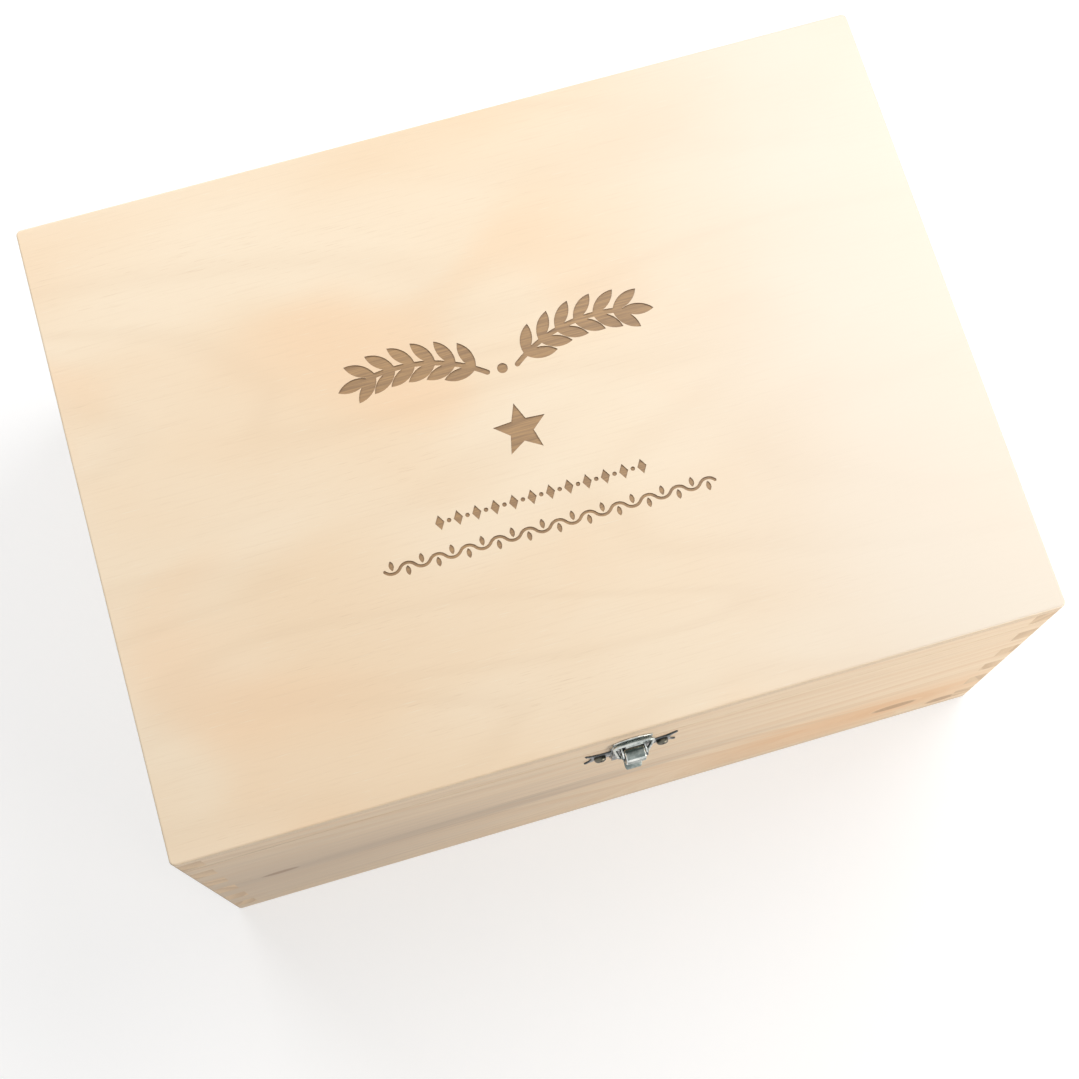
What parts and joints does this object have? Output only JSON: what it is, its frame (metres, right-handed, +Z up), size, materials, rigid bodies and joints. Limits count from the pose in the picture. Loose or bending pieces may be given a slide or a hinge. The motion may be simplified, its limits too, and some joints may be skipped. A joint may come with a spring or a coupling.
{
  "type": "keepsake box",
  "caption": "Hinged wooden keepsake box: comb-jointed pine sides, plywood top and base, engraved star and leaf ornament on the lid, small metal draw latch at the front.",
  "frame": {"origin": "centre of the underside", "axes": "+Z up, +X along the length to the right as seen from the front, -Y to the front with the latch"},
  "size_m": [0.4, 0.3132, 0.205],
  "materials": {
    "birch_plywood": "sanded, bare",
    "pine": "sanded, bare",
    "latch_steel": "bright nickel plate",
    "loop_wire": "bright zinc plate",
    "screw_steel": "zinc plate, slightly dull",
    "hinge_steel": "zinc plate"
  },
  "bodies": {
    "base": {"base_panel": "birch_plywood", "front_wall": "pine", "back_wall": "pine", "left_wall": "pine", "right_wall": "pine", "latch_base_plate": "latch_steel", "latch_plate_screws": "screw_steel", "latch_pin": "latch_steel", "left_hinge_base_leaf": "hinge_steel", "right_hinge_base_leaf": "hinge_steel", "left_hinge_pin": "hinge_steel", "right_hinge_pin": "hinge_steel", "hinge_base_screws": "screw_steel"},
    "lid": {"lid_panel": "birch_plywood", "lid_front_rail": "pine", "lid_back_rail": "pine", "lid_left_rail": "pine", "lid_right_rail": "pine", "latch_keeper": "latch_steel", "keeper_screws": "screw_steel", "left_hinge_lid_leaf": "hinge_steel", "right_hinge_lid_leaf": "hinge_steel", "hinge_lid_screws": "screw_steel"},
    "latch_lever": {"latch_lever": "latch_steel"},
    "latch_loop": {"latch_loop": "loop_wire"}
  },
  "joints": [
    {"name": "lid_hinge", "type": "hinge", "parent": "base", "child": "lid", "pos_m": [0, 0.1525, 0.179], "axis": [-1, 0, 0], "range_deg": [0, 180]},
    {"name": "latch_lever_hinge", "type": "hinge", "parent": "base", "child": "latch_lever", "pos_m": [0.0035, -0.1546, 0.1758], "axis": [-1, 0, 0], "range_deg": [0, 100]},
    {"name": "latch_loop_hinge", "type": "hinge", "parent": "latch_lever", "child": "latch_loop", "pos_m": [0.0035, -0.154, 0.1693], "axis": [1, 0, 0], "range_deg": [0, 150]}
  ],
  "couplings": [
    {"joint": "latch_loop_hinge", "follows": "latch_lever_hinge", "ratio": 1.5}
  ]
}
